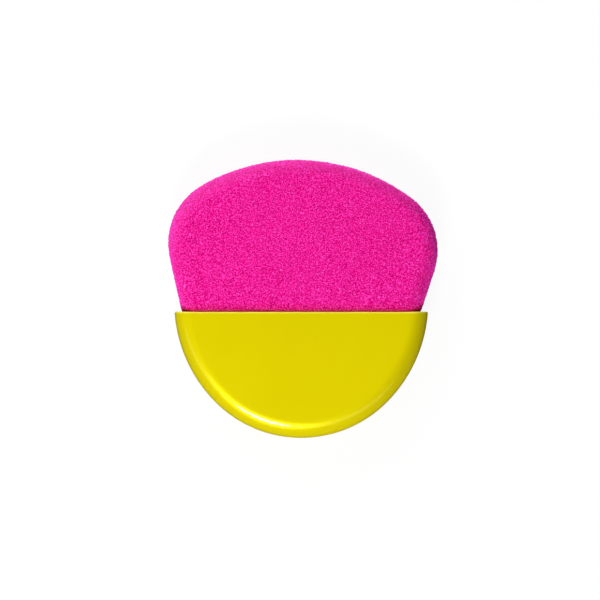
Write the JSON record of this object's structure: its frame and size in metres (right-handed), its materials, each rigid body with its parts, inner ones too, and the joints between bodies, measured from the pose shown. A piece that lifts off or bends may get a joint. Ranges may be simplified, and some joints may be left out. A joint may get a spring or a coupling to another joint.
{
  "type": "sponge applicator",
  "caption": "Hand-held sponge applicator: a domed foam pad pushed into the mouth of a flat half-moon plastic grip made of front and rear shells. The pad pulls straight out for washing.",
  "frame": {"origin": "on the rest plane, under the middle of the part as it lies on the rear shell", "axes": "+Z out of the front face, +Y the way the pad's dome points and pulls out, +X to the right seen from the front"},
  "size_m": [0.0656, 0.0677, 0.01],
  "materials": {
    "grip_plastic": "gloss",
    "pad_foam": "matte"
  },
  "bodies": {
    "grip": {"front_shell": "grip_plastic", "rear_shell": "grip_plastic"},
    "pad": {"foam_pad": "pad_foam"}
  },
  "joints": [
    {"name": "pad_pull", "type": "slide", "parent": "grip", "child": "pad", "axis": [0, 1, 0], "range_m": [0, 0.03]}
  ]
}
